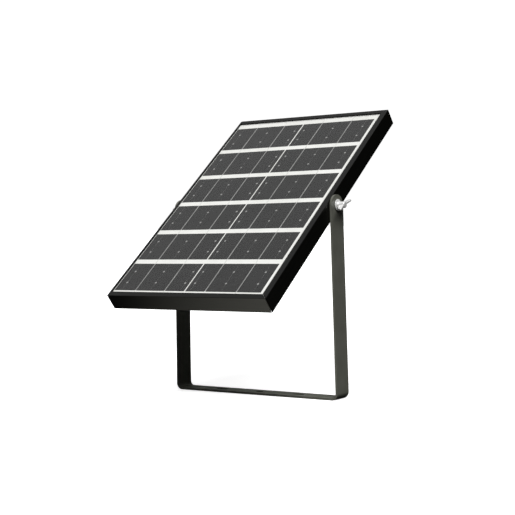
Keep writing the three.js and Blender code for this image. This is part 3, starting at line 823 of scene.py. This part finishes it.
def place_camera():
    """A camera that looks along its azimuth and elevation, rolled about that line."""
    azimuth, elevation, roll = CAMERA_AZIMUTH, CAMERA_ELEVATION, CAMERA_ROLL
    forward = Vector((
        -math.sin(azimuth) * math.cos(elevation),
        math.cos(azimuth) * math.cos(elevation),
        -math.sin(elevation),
    ))
    level_right = forward.cross(Vector((0, 0, 1))).normalized()
    level_up = level_right.cross(forward)
    right = level_right * math.cos(roll) + level_up * math.sin(roll)
    up = level_up * math.cos(roll) - level_right * math.sin(roll)
    data = bpy.data.cameras.new("camera")
    data.lens = CAMERA_LENS
    data.sensor_width = CAMERA_SENSOR
    camera = bpy.data.objects.new("camera", data)
    turn = Matrix((right, up, -forward)).transposed().to_4x4()
    camera.matrix_world = Matrix.Translation(CAMERA_PLACE) @ turn
    bpy.context.scene.collection.objects.link(camera)
    bpy.context.scene.camera = camera


def add_sun(name, direction, strength, spread_deg, shines=True):
    """A soft distant light from the given direction. Reflections show it only if it shines."""
    data = bpy.data.lights.new(name, "SUN")
    data.energy = strength
    data.angle = math.radians(spread_deg)
    light = bpy.data.objects.new(name, data)
    light.rotation_mode = "QUATERNION"
    light.rotation_quaternion = Vector(direction).to_track_quat("Z", "Y")
    light.visible_glossy = shines
    bpy.context.scene.collection.objects.link(light)


WORLD_SEEN_STRENGTH = 1.05


def light_world():
    """White to the camera. Every other ray meets a dim ramp, a little lighter upwards."""
    world = bpy.data.worlds.new("studio")
    world.use_nodes = True
    bpy.context.scene.world = world
    tree = world.node_tree
    seen = tree.nodes["Background"]
    seen.inputs["Color"].default_value = (1, 1, 1, 1)
    seen.inputs["Strength"].default_value = WORLD_SEEN_STRENGTH
    lit = tree.nodes.new("ShaderNodeBackground")
    lit.inputs["Strength"].default_value = 1.0
    direction = tree.nodes.new("ShaderNodeTexCoord")
    split = tree.nodes.new("ShaderNodeSeparateXYZ")
    ramp = tree.nodes.new("ShaderNodeValToRGB")
    ramp.color_ramp.elements[0].position = 0.1
    ramp.color_ramp.elements[0].color = (0.004, 0.004, 0.004, 1)
    ramp.color_ramp.elements[1].position = 0.65
    ramp.color_ramp.elements[1].color = (0.05, 0.05, 0.05, 1)
    path = tree.nodes.new("ShaderNodeLightPath")
    mix = tree.nodes.new("ShaderNodeMixShader")
    tree.links.new(direction.outputs["Generated"], split.inputs[0])
    tree.links.new(split.outputs["Z"], ramp.inputs[0])
    tree.links.new(ramp.outputs[0], lit.inputs["Color"])
    tree.links.new(path.outputs["Is Camera Ray"], mix.inputs[0])
    tree.links.new(lit.outputs[0], mix.inputs[1])
    tree.links.new(seen.outputs[0], mix.inputs[2])
    tree.links.new(mix.outputs[0], tree.nodes["World Output"].inputs["Surface"])


REFLECTED_GLOW_STRENGTH = 1.7
REFLECTED_GLOW_COLOUR = (1, 0.99, 0.88, 1)
# Where the glowing patch, a painted reflection, fades in and out along X and along Y.
REFLECTED_GLOW_LEFT = (-0.17, 0.05)
REFLECTED_GLOW_RIGHT = (0.16, 0.26)
REFLECTED_GLOW_FRONT = (-0.34, -0.26)
REFLECTED_GLOW_BACK = (-0.12, -0.06)
FLOOR_BOUNCE = (0.02, 0.02, 0.02, 1)
FLOOR_GLOW = 0.7
FLOOR_REACH = 60.0


def add_floor():
    """
    The floor is pale and glows a little for the camera, and is dark to every other ray. A warm patch
    of it, below and in front of the panel, glows for reflected rays only: a painted reflection seen in
    the glossy parts above it.
    """
    finish = Finish("pale_floor", roughness=0.9, specular_ior_level=0.0)
    finish.mottle((0.88, 0.88, 0.88, 1), (0.90, 0.90, 0.90, 1), 3)
    tree = finish.tree
    path = finish.node("LightPath")
    split = finish.node("SeparateXYZ", {0: finish.node("TexCoord").outputs["Object"]})
    rightwards = finish.spread(split.outputs["X"], 0.0, 1.0, *REFLECTED_GLOW_LEFT)
    forwards = finish.spread(split.outputs["Y"], 1.0, 0.0, *REFLECTED_GLOW_BACK)
    near = finish.spread(split.outputs["Y"], 0.0, 1.0, *REFLECTED_GLOW_FRONT)
    inside = finish.spread(split.outputs["X"], 1.0, 0.0, *REFLECTED_GLOW_RIGHT)
    patch = finish.math(
        "MULTIPLY", finish.math("MULTIPLY", rightwards, forwards), finish.math("MULTIPLY", near, inside)
    )
    mirrored = finish.math("MULTIPLY", path.outputs["Is Glossy Ray"], REFLECTED_GLOW_STRENGTH)
    strength = finish.math("MULTIPLY", patch, mirrored)
    # Painted reflection: this patch of floor glows, but only reflections see it. It is no lamp.
    reflected_glow = finish.node("Emission", {"Color": REFLECTED_GLOW_COLOUR, "Strength": strength})
    finish.material.cycles.emission_sampling = "NONE"
    dark = finish.node("BsdfDiffuse", {"Color": FLOOR_BOUNCE})
    dim = finish.node("AddShader", {0: reflected_glow.outputs[0], 1: dark.outputs[0]})
    glow = finish.node("Emission", {"Color": (1, 1, 1, 1), "Strength": FLOOR_GLOW})
    bright = finish.node("AddShader", {0: finish.bsdf.outputs[0], 1: glow.outputs[0]})
    shader = finish.node(
        "MixShader", {0: path.outputs["Is Camera Ray"], 1: dim.outputs[0], 2: bright.outputs[0]}
    )
    tree.links.new(shader.outputs[0], tree.nodes["Material Output"].inputs["Surface"])
    mesh = bpy.data.meshes.new("floor")
    reach = FLOOR_REACH
    corners = [(-reach, -reach, 0), (reach, -reach, 0), (reach, reach, 0), (-reach, reach, 0)]
    mesh.from_pydata(corners, [], [(0, 1, 2, 3)])
    mesh.materials.append(finish.material)
    floor = bpy.data.objects.new("floor", mesh)
    bpy.context.scene.collection.objects.link(floor)


bpy.context.scene.view_settings.view_transform = "Standard"
place_camera()
light_world()
add_sun("overhead", (-0.573, 0.164, 0.803), 0.4, 60)
add_sun("front_key", (0.25, -0.62, 0.74), 1.95, 25)
add_sun("top_key", (0.5, -0.25, 0.83), 2.0, 30)
add_sun("back_fill", (-0.45, 0.87, 0.1), 2.6, 40, shines=False)
add_floor()
